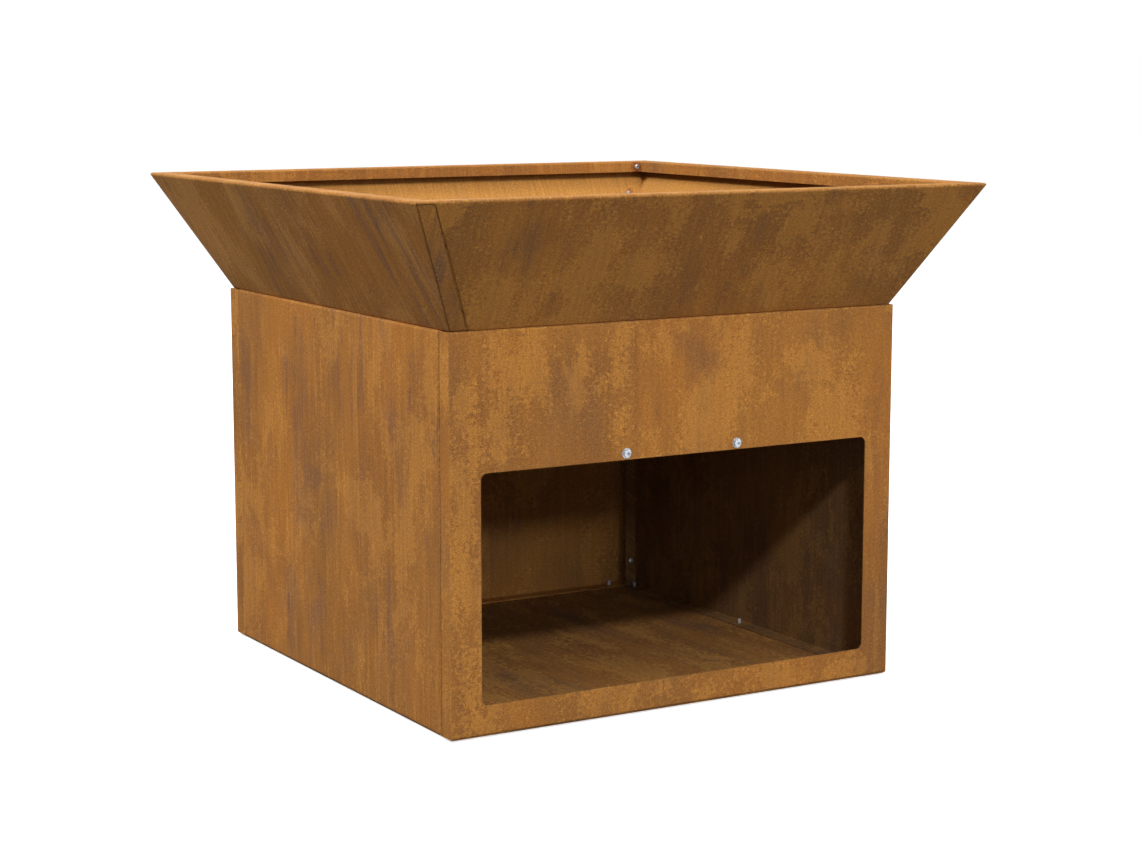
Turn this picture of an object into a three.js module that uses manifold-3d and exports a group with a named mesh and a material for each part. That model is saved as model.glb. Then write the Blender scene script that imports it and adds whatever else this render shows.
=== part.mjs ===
// Weathering-steel fire pit: a square folded base with a log store, and a flared fire tray on top.
// Millimetres, +Z up. The origin lies on the ground, under the middle of the pit.
// The front, with the opening of the log store, faces -Y.
import * as THREE from 'three';
import { mergeVertices } from 'three/addons/utils/BufferGeometryUtils.js';
import Module from 'manifold-3d';

// Overall sizes
const rimWidth = 1000;
const baseWidth = 800;
const wallHeight = 600;
const trayHeight = 194.7;

// Sheet metal
const sheet = 2;
const insideBend = 1.5;
const outsideBend = sheet + insideBend;
const jointGap = 0.3;
const bendSegments = 2;
const foldOverlap = 1;
const overrun = 5;

// Folded edges of the base walls
const wallFlange = 30;
const cornerReturn = 30;
const cornerLip = 22;
const lipRelief = 1;

// Opening of the log store in the front wall
const openingSide = 52;
const openingHeight = 346.5;
const openingSill = 47;
const openingRadius = 10;
const openingSegments = 6;

// Floor plate under the walls
const floorInset = 3;

// Heat shield over the logs
const shieldClearance = 2;
const shieldFlange = 20;
const shieldScrewSpacing = 200;

// Fire tray
const trayInset = 5;
const trayFlange = 30;
const rimFlange = 30;
const rimLip = 20;
const seamSetback = 29.5;
const seamLip = 22;
const seamLipTop = 47;
const seamLipFoot = 2;
const returnTopGap = 1;
const returnFoot = 2.5;
const rimTab = 19;
const rimTabInset = 1;
const rimTabHeight = 14.5;
const mitreSlit = 0.6;
const hipEase = 0.4;
const hipSegments = 5;

// Loose fire plate in the tray
const firePlateThickness = 3;
const firePlateRest = 10;
const lipNotchWidth = 12;
const lipNotchDepth = 9;

// Small button-head screws
const smallScrew = {
  shankRadius: 3,
  length: 12,
  headRadius: 5.25,
  headHeight: 3.3,
  crownRadius: 3.3,
  collarHeight: 0,
  socketRadius: 2.3,
  socketDepth: 2,
};
const holeClearance = 0.3;
const screwSides = 12;
const holeSides = 12;
const socketSides = 6;
const domeSteps = 2;

// Larger collared screws of the heat shield
const largeScrew = {
  shankRadius: 4,
  length: 14,
  headRadius: 6.8,
  headHeight: 5,
  crownRadius: 3.8,
  collarRadius: 8,
  collarHeight: 1.3,
  socketRadius: 2.9,
  socketDepth: 2.6,
};

// Places of the screws
const floorScrewInset = 15;
const floorScrewEnd = 50;
const cornerScrewEnd = 50;
const trayScrewInset = 13;
const seamScrewDepth = 12;
const seamScrewTop = 60;
const seamScrewFoot = 34.7;

// Sizes that follow from those above
const halfBase = baseWidth / 2;
const halfRim = rimWidth / 2;
const floorBottom = smallScrew.headHeight;
const wallBottom = floorBottom + sheet;
const wallTop = wallBottom + wallHeight;
const wallInside = halfBase - sheet;
const trayBottom = wallTop;
const trayTop = trayBottom + trayHeight;
const halfTrayFoot = halfBase - trayInset;
const openingBottom = floorBottom + openingSill;
const openingTop = openingBottom + openingHeight;
const openingWidth = baseWidth - 2 * openingSide;
const shieldBottom = openingTop;
const shieldWidth = baseWidth - 2 * (cornerLip + shieldClearance);
const floorScrewSpacing = halfBase - floorScrewEnd;
const shieldScrewHeight = shieldBottom + shieldFlange / 2;
const rimScrewHeight = trayTop - rimLip / 2 - rimTabInset / 2;

// The flared wall runs from the foot of the tray tangent to the bend of the rim, which touches
// the overall width and height.
const bendReach = halfRim - outsideBend - halfTrayFoot;
const bendRise = trayHeight - outsideBend;
const flareLean = Math.atan2(bendReach, bendRise) + Math.asin(outsideBend / Math.hypot(bendReach, bendRise));
const flareReach = trayHeight * Math.tan(flareLean);
const rimCorner = halfTrayFoot + flareReach;

const wasm = await Module();
wasm.setup();

const axisX = new THREE.Vector3(1, 0, 0);
const axisY = new THREE.Vector3(0, 1, 0);
const axisZ = new THREE.Vector3(0, 0, 1);
const quarterTurn = Math.PI / 2;
const halfTurn = Math.PI;

// Turns a closed geometry into a solid that can be joined and cut.
function solidOf(geometry) {
  const bare = geometry.clone();
  bare.deleteAttribute('normal');
  bare.deleteAttribute('uv');
  const merged = mergeVertices(bare);
  const vertProperties = new Float32Array(merged.attributes.position.array);
  const triVerts = new Uint32Array(merged.index.array);
  return new wasm.Manifold(new wasm.Mesh({ numProp: 3, vertProperties, triVerts }));
}

// Turns a solid back into a geometry.
function geometryOf(solid) {
  const mesh = solid.getMesh();
  const geometry = new THREE.BufferGeometry();
  geometry.setAttribute('position', new THREE.BufferAttribute(mesh.vertProperties, 3));
  geometry.setIndex(new THREE.BufferAttribute(mesh.triVerts, 1));
  geometry.computeVertexNormals();
  return geometry;
}

// Extrudes a shape drawn on the axes across and up, from a start point and along their normal.
function extrude(shape, depth, across, up, start, curveSegments = bendSegments) {
  const geometry = new THREE.ExtrudeGeometry(shape, { depth, curveSegments, bevelEnabled: false });
  const along = new THREE.Vector3().crossVectors(across, up);
  geometry.applyMatrix4(new THREE.Matrix4().makeBasis(across, up, along).setPosition(start));
  return geometry;
}

// A box between two corners.
function boxBetween(low, high) {
  const size = high.clone().sub(low);
  const centre = low.clone().add(high).divideScalar(2);
  return new THREE.BoxGeometry(size.x, size.y, size.z).translate(centre.x, centre.y, centre.z);
}

// A round cutter through a point, along a direction, with half its length on each side.
function holeCutter(point, direction, radius, reach) {
  const cutter = new THREE.CylinderGeometry(radius, radius, 2 * reach, holeSides);
  cutter.applyQuaternion(new THREE.Quaternion().setFromUnitVectors(axisY, direction));
  return solidOf(cutter.translate(point.x, point.y, point.z));
}

// The section of a strip folded from sheet. The points are the sharp outer corners of the folds,
// every fold turns left, and the sheet lies on the left of the path.
function foldedSection(points) {
  const directions = points.slice(1).map((point, i) => point.clone().sub(points[i]).normalize());
  const normals = directions.map((direction) => new THREE.Vector2(-direction.y, direction.x));
  const folds = directions.slice(1).map((direction, i) => {
    const turn = Math.acos(THREE.MathUtils.clamp(direction.dot(directions[i]), -1, 1));
    const setback = outsideBend * Math.tan(turn / 2);
    const centre = points[i + 1].clone();
    centre.addScaledVector(directions[i], -setback).addScaledVector(normals[i], outsideBend);
    const from = Math.atan2(-normals[i].y, -normals[i].x);
    return { centre, from, to: from + turn };
  });
  const shape = new THREE.Shape();
  const last = points.length - 1;
  const farInside = points[last].clone().addScaledVector(normals[last - 1], sheet);
  const nearInside = points[0].clone().addScaledVector(normals[0], sheet);
  shape.moveTo(points[0].x, points[0].y);
  for (const { centre, from, to } of folds) {
    shape.absarc(centre.x, centre.y, outsideBend, from, to, false);
  }
  shape.lineTo(points[last].x, points[last].y);
  shape.lineTo(farInside.x, farInside.y);
  for (const { centre, from, to } of folds.reverse()) {
    shape.absarc(centre.x, centre.y, insideBend, to, from, true);
  }
  shape.lineTo(nearInside.x, nearInside.y);
  shape.closePath();
  return shape;
}

const point2 = (x, y) => new THREE.Vector2(x, y);
const point3 = (x, y, z) => new THREE.Vector3(x, y, z);

// Base walls. Each is drawn as the wall that faces -Y and is then turned to its side.

// Face of a wall with its top and bottom flanges, between the folds at its ends.
function wallFace(halfLength) {
  const reach = halfLength - outsideBend - foldOverlap;
  const section = foldedSection([
    point2(wallFlange - halfBase, wallTop),
    point2(-halfBase, wallTop),
    point2(-halfBase, wallBottom),
    point2(wallFlange - halfBase, wallBottom),
  ]);
  return solidOf(extrude(section, 2 * reach, axisY, axisZ, point3(-reach, 0, 0)));
}

// One folded end of a wall, from its face round to its lip, as points from the face outwards.
function wallEnd(points) {
  const right = foldedSection(points);
  const left = foldedSection(points.map((point) => point2(-point.x, point.y)).reverse());
  const start = point3(0, 0, wallBottom);
  const rightEnd = solidOf(extrude(right, wallHeight, axisX, axisY, start));
  const leftEnd = solidOf(extrude(left, wallHeight, axisX, axisY, start));
  return rightEnd.add(leftEnd);
}

// Heights of the screws that join two walls at a corner.
function cornerScrewHeights() {
  const low = floorBottom + cornerScrewEnd;
  const high = wallTop - cornerScrewEnd;
  return [low, (low + high) / 2, high];
}

// Holes in the bottom flange for the floor screws, and in the top flange for the tray screws.
function drillFlanges(wall) {
  const radius = smallScrew.shankRadius + holeClearance;
  let drilled = wall;
  for (const x of [-floorScrewSpacing, 0, floorScrewSpacing]) {
    const centre = point3(x, floorScrewInset - halfBase, wallBottom);
    drilled = drilled.subtract(holeCutter(centre, axisZ, radius, overrun));
  }
  const trayHole = point3(0, trayScrewInset - halfTrayFoot, wallTop);
  return drilled.subtract(holeCutter(trayHole, axisZ, radius, overrun));
}

// Front or back wall: its ends fold round the corners, and its lips turn in behind the side walls.
function endWall() {
  const faceStart = halfBase - outsideBend - 2 * foldOverlap;
  const lipPlane = cornerReturn - halfBase;
  let wall = wallFace(halfBase).add(wallEnd([
    point2(faceStart, -halfBase),
    point2(halfBase, -halfBase),
    point2(halfBase, lipPlane),
    point2(halfBase - cornerLip, lipPlane),
  ]));
  const lipFoot = sheet + lipRelief;
  for (const side of [-1, 1]) {
    for (const [low, high] of [[wallBottom, wallBottom + lipFoot], [wallTop - lipFoot, wallTop]]) {
      const inner = side * (halfBase - cornerLip - overrun);
      const outer = side * (wallInside - lipRelief);
      wall = wall.subtract(solidOf(boxBetween(
        point3(Math.min(inner, outer), lipPlane - outsideBend, low),
        point3(Math.max(inner, outer), lipPlane + overrun, high),
      )));
    }
    for (const z of cornerScrewHeights()) {
      const centre = point3(side * (halfBase - sheet - (cornerLip - sheet) / 2), lipPlane, z);
      wall = wall.subtract(holeCutter(centre, axisY, smallScrew.shankRadius + holeClearance, overrun));
    }
    const shieldHole = point3(side * shieldScrewSpacing / 2, -halfBase, shieldScrewHeight);
    wall = wall.subtract(holeCutter(shieldHole, axisY, largeScrew.shankRadius + holeClearance, overrun));
  }
  return drillFlanges(wall);
}

// Opening of the log store, a rounded rectangle through the front wall.
function openingCutter() {
  const halfWidth = openingWidth / 2;
  const shape = new THREE.Shape();
  const corners = [
    [halfWidth - openingRadius, openingBottom + openingRadius, -quarterTurn],
    [halfWidth - openingRadius, openingTop - openingRadius, 0],
    [openingRadius - halfWidth, openingTop - openingRadius, quarterTurn],
    [openingRadius - halfWidth, openingBottom + openingRadius, halfTurn],
  ];
  for (const [x, z, from] of corners) {
    shape.absarc(x, z, openingRadius, from, from + quarterTurn, false);
  }
  shape.closePath();
  const start = point3(0, overrun - wallInside, 0);
  return solidOf(extrude(shape, sheet + 2 * overrun, axisX, axisZ, start, openingSegments));
}

// Side wall: it fits between the returns of the front and back walls, with a lip at each end.
function sideWall() {
  const halfLength = halfBase - cornerReturn - jointGap;
  const faceStart = halfLength - outsideBend - 2 * foldOverlap;
  let wall = wallFace(halfLength).add(wallEnd([
    point2(faceStart, -halfBase),
    point2(halfLength, -halfBase),
    point2(halfLength, cornerLip - halfBase),
  ]));
  for (const side of [-1, 1]) {
    for (const z of cornerScrewHeights()) {
      const centre = point3(side * halfLength, sheet + (cornerLip - sheet) / 2 - halfBase, z);
      wall = wall.subtract(holeCutter(centre, axisX, smallScrew.shankRadius + holeClearance, overrun));
    }
  }
  return drillFlanges(wall);
}

// Floor plate that the walls' bottom flanges are screwed to.
function floorPlate() {
  const reach = halfBase - floorInset;
  let plate = solidOf(boxBetween(point3(-reach, -reach, floorBottom), point3(reach, reach, wallBottom)));
  for (let turn = 0; turn < 4; turn += 1) {
    for (const x of [-floorScrewSpacing, 0, floorScrewSpacing]) {
      const centre = point3(x, floorScrewInset - halfBase, floorBottom);
      centre.applyAxisAngle(axisZ, turn * quarterTurn);
      plate = plate.subtract(holeCutter(centre, axisZ, smallScrew.shankRadius + holeClearance, overrun));
    }
  }
  return plate;
}

// Heat shield: a shelf over the logs, hung by its upturned front and back flanges.
function heatShield() {
  const reach = wallInside - jointGap;
  const section = foldedSection([
    point2(-reach, shieldBottom + shieldFlange),
    point2(-reach, shieldBottom),
    point2(reach, shieldBottom),
    point2(reach, shieldBottom + shieldFlange),
  ]);
  const start = point3(-shieldWidth / 2, 0, 0);
  let shield = solidOf(extrude(section, shieldWidth, axisY, axisZ, start));
  for (const side of [-1, 1]) {
    const centre = point3(side * shieldScrewSpacing / 2, 0, shieldScrewHeight);
    const radius = largeScrew.shankRadius + holeClearance;
    shield = shield.subtract(holeCutter(centre, axisY, radius, halfBase));
  }
  return shield;
}

// Fire tray. Two alike halves, each folded round one hip: left and back walls, front and right walls.
// They meet at the front left and back right corners, where one half returns onto the other's wall.

// Directions on the front flare at its left hip: across the wall, into the tray, and up the hip.
function flareFrame() {
  const hip = point3(-flareReach, -flareReach, trayHeight).normalize();
  const inward = point3(0, trayHeight, flareReach).normalize();
  const across = new THREE.Vector3().crossVectors(inward, hip);
  const seamFoot = point3(seamSetback - halfTrayFoot, -halfTrayFoot, trayBottom);
  return { across, inward, hip, seamFoot };
}

// All four walls at once: the folded section carried round a square, with mitred corners.
function trayRing() {
  const section = foldedSection([
    point2(halfTrayFoot - trayFlange, trayBottom),
    point2(halfTrayFoot, trayBottom),
    point2(rimCorner, trayTop),
    point2(halfRim - rimFlange, trayTop),
    point2(halfRim - rimFlange, trayTop - rimLip),
  ]);
  const outline = section.getPoints(bendSegments).map(({ x, y }) => point2(x * Math.SQRT2, y));
  const ring = new THREE.LatheGeometry(outline, 4, quarterTurn / 2);
  return solidOf(ring.rotateX(quarterTurn));
}

// A solid with rounded corners just outside the walls, which rounds the four hips.
function hipEnvelope() {
  const radius = outsideBend + hipEase / (1 - Math.SQRT1_2);
  const layers = [
    [halfTrayFoot - flareReach * overrun / trayHeight, trayBottom - overrun],
    [rimCorner + flareReach * overrun / trayHeight, trayTop + overrun],
  ];
  const rings = layers.map(([halfSize, z]) => {
    const points = [];
    const middle = halfSize + hipEase - radius;
    for (let corner = 0; corner < 4; corner += 1) {
      for (let step = 0; step <= hipSegments; step += 1) {
        const angle = step * quarterTurn / hipSegments;
        const point = point3(middle + radius * Math.cos(angle), middle + radius * Math.sin(angle), z);
        points.push(point.applyAxisAngle(axisZ, corner * quarterTurn));
      }
    }
    return points;
  });
  const count = rings[0].length;
  const positions = [...rings[0], ...rings[1]].flatMap(({ x, y, z }) => [x, y, z]);
  const index = [];
  for (let i = 0; i < count; i += 1) {
    const next = (i + 1) % count;
    index.push(i, next, count + next, i, count + next, count + i);
  }
  for (let i = 1; i < count - 1; i += 1) {
    index.push(0, i + 1, i, count, count + i, count + i + 1);
  }
  const geometry = new THREE.BufferGeometry();
  geometry.setAttribute('position', new THREE.Float32BufferAttribute(positions, 3));
  geometry.setIndex(index);
  return solidOf(geometry);
}

// A bar that follows the seam, given by its section across the wall and into the tray,
// and cut level at a low and a high end.
function alongSeam(section, low, high) {
  const { across, inward, hip, seamFoot } = flareFrame();
  const length = 2 * halfRim;
  const start = seamFoot.clone().addScaledVector(hip, -halfRim);
  const bar = solidOf(extrude(section, length, across, inward, start));
  const slab = boxBetween(point3(-rimWidth, -rimWidth, low), point3(rimWidth, rimWidth, high));
  return bar.intersect(solidOf(slab));
}

// A rectangle on the axes across the wall and into the tray.
function rectangle(left, right, outer, inner) {
  return new THREE.Shape([
    point2(left, outer),
    point2(right, outer),
    point2(right, inner),
    point2(left, inner),
  ]);
}

// The groove between the two outer bends at the seam.
function seamGroove() {
  const edge = jointGap / 2;
  const shape = new THREE.Shape();
  shape.moveTo(-edge - outsideBend, -overrun);
  shape.lineTo(edge + outsideBend, -overrun);
  shape.absarc(edge + outsideBend, outsideBend, outsideBend, -quarterTurn, -halfTurn, true);
  shape.absarc(-edge - outsideBend, outsideBend, outsideBend, 0, -quarterTurn, true);
  shape.closePath();
  return shape;
}

// The part of the front wall that belongs to the left wall's return: a strip beside the hip
// and its lip, up to a line across the wall, with a gap added at both ends.
function seamZone(line, endGap) {
  const skin = rectangle(-halfBase, line, -overrun, outsideBend);
  const lips = rectangle(-seamSetback, line, -overrun, seamLip + overrun);
  const skinLow = trayBottom + returnFoot - endGap;
  const skinHigh = trayTop - sheet - returnTopGap + endGap;
  const lipLow = trayBottom + sheet + seamLipFoot / 2;
  const lipHigh = trayTop - seamLipTop + overrun;
  return alongSeam(skin, skinLow, skinHigh).add(alongSeam(lips, lipLow, lipHigh));
}

// Turned half a turn about the vertical, from the front left seam to the back right one.
const opposite = (solid) => solidOf(geometryOf(solid).rotateZ(halfTurn));

// Places of the seam screws: on the joint plane of the lips, from the top one down.
function seamScrewCentres() {
  const { inward, hip, seamFoot } = flareFrame();
  return [trayTop - seamScrewTop, trayBottom + seamScrewFoot].map((height) => {
    const onLip = seamFoot.clone().addScaledVector(inward, seamScrewDepth);
    return onLip.addScaledVector(hip, (height - onLip.z) / hip.z);
  });
}

// One half of the tray, with the left and back walls.
function trayHalf() {
  const { across } = flareFrame();
  const holeRadius = smallScrew.shankRadius + holeClearance;
  const edge = jointGap / 2;
  const lipHigh = trayTop - seamLipTop;
  const lipLow = trayBottom + sheet + seamLipFoot;
  let lips = alongSeam(rectangle(-edge - sheet, edge + sheet, sheet / 2, seamLip), lipLow, lipHigh);
  for (const centre of seamScrewCentres()) {
    lips = lips.subtract(holeCutter(centre, across, holeRadius, overrun));
  }
  const groove = alongSeam(seamGroove(), trayBottom + returnFoot, lipHigh);
  let ring = trayRing().intersect(hipEnvelope());
  ring = ring.add(lips).subtract(groove);
  ring = ring.add(opposite(lips)).subtract(opposite(groove));

  const far = 4 * rimWidth;
  const beyond = boxBetween(point3(-edge, -far, -far), point3(far, far, far)).rotateZ(-quarterTurn / 2);
  const own = seamZone(-edge, 0);
  const other = opposite(seamZone(edge, jointGap));
  const cutter = solidOf(beyond).subtract(own).add(other);
  let half = ring.subtract(cutter);

  half = half.subtract(mitreSlits()).add(rimTabPlate());
  for (const side of [-1, 1]) {
    const rimHole = point3(side * rimScrewAcross(), side * (halfRim - rimFlange), rimScrewHeight);
    half = half.subtract(holeCutter(rimHole, axisY, holeRadius, overrun));
  }
  for (const turn of [halfTurn, -quarterTurn]) {
    const centre = point3(0, trayScrewInset - halfTrayFoot, trayBottom).applyAxisAngle(axisZ, turn);
    half = half.subtract(holeCutter(centre, axisZ, holeRadius, overrun));
  }
  return half;
}

// Middle of the rim tab, measured from the centre of the tray.
const rimScrewAcross = () => halfRim - rimFlange - rimTab / 2;

// Tab on the left rim lip that laps the inside of the front rim lip.
function rimTabPlate() {
  const lipFace = halfRim - rimFlange;
  const low = trayTop - rimLip + rimTabInset;
  return solidOf(boxBetween(
    point3(-lipFace - sheet / 2, jointGap - lipFace, low),
    point3(rimTab - lipFace, jointGap + sheet - lipFace, low + rimTabHeight),
  ));
}

// Slits where the flanges and rim lips of the two walls of one half meet at the folded hip.
function mitreSlits() {
  const slits = [
    [halfRim - rimFlange - overrun, halfRim - 2 * outsideBend, trayTop - sheet, trayTop],
    [halfRim - rimFlange - overrun, halfRim - rimFlange + outsideBend, trayTop - rimLip, trayTop],
    [halfTrayFoot - trayFlange - overrun, halfTrayFoot - 2 * outsideBend, trayBottom, trayBottom + sheet],
  ];
  const cutters = slits.map(([inner, outer, low, high]) => solidOf(boxBetween(
    point3(inner * Math.SQRT2, -mitreSlit / 2, low - insideBend / 2),
    point3(outer * Math.SQRT2, mitreSlit / 2, high + insideBend / 2),
  ).rotateZ(quarterTurn + quarterTurn / 2)));
  return cutters.reduce((sum, cutter) => sum.add(cutter));
}

// Loose fire plate, which lies on the tray's bottom flanges between the heads of the tray screws.
// Two notches clear the lips at the seams.
function firePlate() {
  const reach = halfTrayFoot - trayFlange + firePlateRest;
  const low = trayBottom + sheet + jointGap;
  const notchMiddle = halfTrayFoot - seamSetback;
  const notch = solidOf(boxBetween(
    point3(-notchMiddle - lipNotchWidth / 2, -reach - overrun, low - overrun),
    point3(lipNotchWidth / 2 - notchMiddle, lipNotchDepth - reach, low + overrun),
  ));
  const plate = solidOf(boxBetween(
    point3(-reach, -reach, low),
    point3(reach, reach, low + firePlateThickness),
  ));
  return plate.subtract(notch).subtract(opposite(notch));
}

// Screws

// A domed screw with its head below zero and its shank along +Z.
function screwGeometry(screw) {
  const profile = [point2(0, -screw.headHeight), point2(screw.crownRadius, -screw.headHeight)];
  const domeWidth = screw.headRadius - screw.crownRadius;
  const domeHeight = screw.headHeight - screw.collarHeight;
  for (let step = 1; step <= domeSteps; step += 1) {
    const angle = step * quarterTurn / domeSteps;
    const sag = domeHeight * (1 - Math.cos(angle));
    profile.push(point2(screw.crownRadius + domeWidth * Math.sin(angle), sag - screw.headHeight));
  }
  if (screw.collarHeight > 0) {
    profile.push(point2(screw.collarRadius, -screw.collarHeight));
    profile.push(point2(screw.collarRadius, 0));
  }
  profile.push(point2(screw.shankRadius, 0));
  profile.push(point2(screw.shankRadius, screw.length));
  profile.push(point2(0, screw.length));
  const body = new THREE.LatheGeometry(profile, screwSides).rotateX(quarterTurn);
  const { socketRadius, socketDepth } = screw;
  const socket = new THREE.CylinderGeometry(socketRadius, socketRadius, 2 * socketDepth, socketSides);
  socket.rotateX(quarterTurn).translate(0, 0, -screw.headHeight);
  return geometryOf(solidOf(body).subtract(solidOf(socket)));
}

const smallScrewGeometry = screwGeometry(smallScrew);
const largeScrewGeometry = screwGeometry(largeScrew);

// Seats of the screws, each drawn for the front wall or the front left corner.

// Up through the floor plate along the front edge.
const floorScrewSeats = [-floorScrewSpacing, 0, floorScrewSpacing].map((x) => (
  point3(x, floorScrewInset - halfBase, floorBottom)
));

// Towards the front through a side wall's lip into the front wall's lip, seen from the log store.
function cornerScrewSeats(side) {
  const across = side * (halfBase - sheet - (cornerLip - sheet) / 2);
  const seatPlane = cornerReturn + jointGap + sheet + jointGap - halfBase;
  return cornerScrewHeights().map((z) => point3(across, seatPlane, z));
}

// Through the front wall into the flange of the heat shield.
const shieldScrewSeats = [-1, 1].map((side) => (
  point3(side * shieldScrewSpacing / 2, -halfBase - jointGap, shieldScrewHeight)
));

// Down through the front flange of the tray into the top of the front wall.
const trayScrewSeat = point3(0, trayScrewInset - halfTrayFoot, trayBottom + sheet);

// Through the two lips of the front left seam.
const seamScrewSeats = seamScrewCentres().map((centre) => (
  centre.addScaledVector(flareFrame().across, jointGap / 2 + sheet + jointGap)
));

// Through the rim tab into the front rim lip.
const rimScrewSeat = point3(
  -rimScrewAcross(),
  jointGap + sheet + jointGap - (halfRim - rimFlange),
  rimScrewHeight,
);

// Materials

const rustySteel = (color) => new THREE.MeshStandardMaterial({ color, roughness: 0.85, metalness: 0.1 });
const zincSteel = () => new THREE.MeshStandardMaterial({ color: 0xc4c8cc, roughness: 0.3, metalness: 0.9 });
const baseRust = 0x9c6430;
const trayRust = 0x8a5a30;
const plateRust = 0x6e4a2c;

// The assembled pit

function part(name, geometry, material, turn = 0) {
  const mesh = new THREE.Mesh(geometry, material);
  mesh.name = name;
  mesh.rotation.z = turn;
  return mesh;
}

const base = new THREE.Group();
const endWallSolid = endWall();
const backGeometry = geometryOf(endWallSolid);
const sideGeometry = geometryOf(sideWall());
base.add(
  part('front_panel', geometryOf(endWallSolid.subtract(openingCutter())), rustySteel(baseRust)),
  part('back_panel', backGeometry, rustySteel(baseRust), halfTurn),
  part('left_panel', sideGeometry, rustySteel(baseRust), -quarterTurn),
  part('right_panel', sideGeometry, rustySteel(baseRust), quarterTurn),
  part('floor_plate', geometryOf(floorPlate()), rustySteel(plateRust)),
  part('heat_shield', geometryOf(heatShield()), rustySteel(plateRust)),
);

const tray = new THREE.Group();
const halfGeometry = geometryOf(trayHalf());
tray.add(
  part('tray_left_back', halfGeometry, rustySteel(trayRust)),
  part('tray_front_right', halfGeometry, rustySteel(trayRust), halfTurn),
  part('fire_plate', geometryOf(firePlate()), rustySteel(plateRust)),
);

const frontward = axisY.clone().negate();
const downward = axisZ.clone().negate();
const alongFrontSeam = flareFrame().across.negate();

// A group of screws that point one way, turned about the vertical to its side of the pit.
function screwRow(names, seats, geometry, direction, turn = 0) {
  const row = new THREE.Group();
  seats.forEach((seat, i) => {
    const screw = part(names[i], geometry, zincSteel());
    screw.quaternion.setFromUnitVectors(axisZ, direction);
    screw.position.copy(seat);
    row.add(screw);
  });
  row.rotation.z = turn;
  return row;
}

const numbered = (name, seats) => seats.map((seat, i) => `${name}_${i + 1}`);

const screws = new THREE.Group();
const sides = { front: 0, right: quarterTurn, back: halfTurn, left: -quarterTurn };
for (const [side, turn] of Object.entries(sides)) {
  const floorNames = numbered(`floor_screw_${side}`, floorScrewSeats);
  screws.add(
    screwRow(floorNames, floorScrewSeats, smallScrewGeometry, axisZ, turn),
    screwRow([`tray_screw_${side}`], [trayScrewSeat], smallScrewGeometry, downward, turn),
  );
}
const corners = { front_left: [-1, 0], front_right: [1, 0], back_right: [-1, halfTurn], back_left: [1, halfTurn] };
for (const [corner, [side, turn]] of Object.entries(corners)) {
  const seats = cornerScrewSeats(side);
  const names = numbered(`corner_screw_${corner}`, seats);
  screws.add(screwRow(names, seats, smallScrewGeometry, frontward, turn));
}
for (const [side, turn] of Object.entries({ front: 0, back: halfTurn })) {
  const names = numbered(`shield_screw_${side}`, shieldScrewSeats);
  screws.add(screwRow(names, shieldScrewSeats, largeScrewGeometry, axisY, turn));
}
for (const [corner, turn] of Object.entries({ front_left: 0, back_right: halfTurn })) {
  const names = numbered(`seam_screw_${corner}`, seamScrewSeats);
  screws.add(
    screwRow(names, seamScrewSeats, smallScrewGeometry, alongFrontSeam, turn),
    screwRow([`rim_screw_${corner}`], [rimScrewSeat], smallScrewGeometry, frontward, turn),
  );
}

const firePit = new THREE.Group();
firePit.name = 'fire_pit';
firePit.add(base, tray, screws);

export default firePit;
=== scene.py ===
# Looks, stage, lamps and camera for the weathering-steel fire pit.
# Metres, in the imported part's own frame: the front faces -Y and +Z is up.
# No shape is added: every visible piece is a CAD node with a procedural material.
import math
from collections import namedtuple
from functools import reduce

import bpy
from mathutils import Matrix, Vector


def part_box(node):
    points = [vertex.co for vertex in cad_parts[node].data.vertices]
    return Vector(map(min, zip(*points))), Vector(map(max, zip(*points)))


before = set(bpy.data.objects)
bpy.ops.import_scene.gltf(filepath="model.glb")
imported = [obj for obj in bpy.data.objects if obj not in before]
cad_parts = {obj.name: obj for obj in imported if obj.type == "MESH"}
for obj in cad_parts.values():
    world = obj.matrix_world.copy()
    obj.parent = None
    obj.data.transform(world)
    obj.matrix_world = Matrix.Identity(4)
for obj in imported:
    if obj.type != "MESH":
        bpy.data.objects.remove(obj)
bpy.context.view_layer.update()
scene = bpy.context.scene


# Node helpers

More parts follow.
